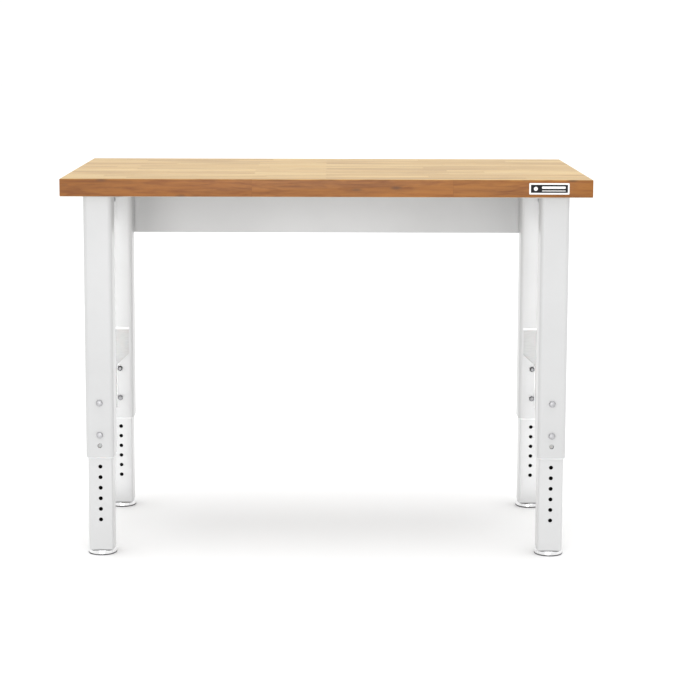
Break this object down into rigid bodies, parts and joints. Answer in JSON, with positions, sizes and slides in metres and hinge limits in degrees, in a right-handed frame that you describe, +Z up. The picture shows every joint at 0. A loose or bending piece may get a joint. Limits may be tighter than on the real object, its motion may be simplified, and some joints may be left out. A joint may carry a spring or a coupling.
{
  "type": "adjustable work bench",
  "caption": "Work bench with a thick hardwood top on telescoping square steel legs with height holes, levelling feet and a channel rail behind.",
  "frame": {"origin": "on the floor, under the centre of the worktop", "axes": "+X along the length of the bench, +Y from front to rear, +Z up"},
  "size_m": [1.2192, 0.635, 0.892],
  "materials": {
    "hardwood": "oiled hardwood staves, satin",
    "white_paint": "semi-gloss white powder coat",
    "white_nylon": "moulded nylon, satin",
    "bright_foot": "bright nickel plate",
    "zinc_plate": "bright zinc plate",
    "badge": "dark enamelled plate with a light border"
  },
  "bodies": {
    "bench": {"worktop": "hardwood", "badge": "badge", "back_apron": "white_paint", "side_rail_left": "white_paint", "side_rail_right": "white_paint", "apron_bolt_left_low": "zinc_plate", "apron_bolt_left_high": "zinc_plate", "rail_bolt_left_front": "zinc_plate", "rail_bolt_left_rear": "zinc_plate", "apron_bolt_right_low": "zinc_plate", "apron_bolt_right_high": "zinc_plate", "rail_bolt_right_front": "zinc_plate", "rail_bolt_right_rear": "zinc_plate", "wood_screw_1": "zinc_plate", "wood_screw_2": "zinc_plate", "wood_screw_3": "zinc_plate", "wood_screw_4": "zinc_plate", "wood_screw_5": "zinc_plate", "wood_screw_6": "zinc_plate", "front_left_upper_leg": "white_paint", "front_left_glide_sleeve": "white_nylon", "front_left_bolt_lower": "zinc_plate", "front_left_bolt_upper": "zinc_plate", "front_left_nut_lower": "zinc_plate", "front_left_nut_upper": "zinc_plate", "front_right_upper_leg": "white_paint", "front_right_glide_sleeve": "white_nylon", "front_right_bolt_lower": "zinc_plate", "front_right_bolt_upper": "zinc_plate", "front_right_nut_lower": "zinc_plate", "front_right_nut_upper": "zinc_plate", "rear_left_upper_leg": "white_paint", "rear_left_glide_sleeve": "white_nylon", "rear_left_bolt_lower": "zinc_plate", "rear_left_bolt_upper": "zinc_plate", "rear_left_nut_lower": "zinc_plate", "rear_left_nut_upper": "zinc_plate", "rear_right_upper_leg": "white_paint", "rear_right_glide_sleeve": "white_nylon", "rear_right_bolt_lower": "zinc_plate", "rear_right_bolt_upper": "zinc_plate", "rear_right_nut_lower": "zinc_plate", "rear_right_nut_upper": "zinc_plate"},
    "front_left_inner_leg": {"front_left_lower_leg": "white_paint", "front_left_foot_plug": "white_nylon"},
    "front_left_leveller": {"front_left_foot": "bright_foot"},
    "front_right_inner_leg": {"front_right_lower_leg": "white_paint", "front_right_foot_plug": "white_nylon"},
    "front_right_leveller": {"front_right_foot": "bright_foot"},
    "rear_left_inner_leg": {"rear_left_lower_leg": "white_paint", "rear_left_foot_plug": "white_nylon"},
    "rear_left_leveller": {"rear_left_foot": "bright_foot"},
    "rear_right_inner_leg": {"rear_right_lower_leg": "white_paint", "rear_right_foot_plug": "white_nylon"},
    "rear_right_leveller": {"rear_right_foot": "bright_foot"}
  },
  "joints": [
    {"name": "front_left_height", "type": "slide", "parent": "bench", "child": "front_left_inner_leg", "axis": [0, 0, -1], "range_m": [-0.1524, 0.1524]},
    {"name": "front_left_levelling", "type": "slide", "parent": "front_left_inner_leg", "child": "front_left_leveller", "axis": [0, 0, -1], "range_m": [0, 0.0127]},
    {"name": "front_right_height", "type": "slide", "parent": "bench", "child": "front_right_inner_leg", "axis": [0, 0, -1], "range_m": [-0.1524, 0.1524]},
    {"name": "front_right_levelling", "type": "slide", "parent": "front_right_inner_leg", "child": "front_right_leveller", "axis": [0, 0, -1], "range_m": [0, 0.0127]},
    {"name": "rear_left_height", "type": "slide", "parent": "bench", "child": "rear_left_inner_leg", "axis": [0, 0, -1], "range_m": [-0.1524, 0.1524]},
    {"name": "rear_left_levelling", "type": "slide", "parent": "rear_left_inner_leg", "child": "rear_left_leveller", "axis": [0, 0, -1], "range_m": [0, 0.0127]},
    {"name": "rear_right_height", "type": "slide", "parent": "bench", "child": "rear_right_inner_leg", "axis": [0, 0, -1], "range_m": [-0.1524, 0.1524]},
    {"name": "rear_right_levelling", "type": "slide", "parent": "rear_right_inner_leg", "child": "rear_right_leveller", "axis": [0, 0, -1], "range_m": [0, 0.0127]}
  ]
}
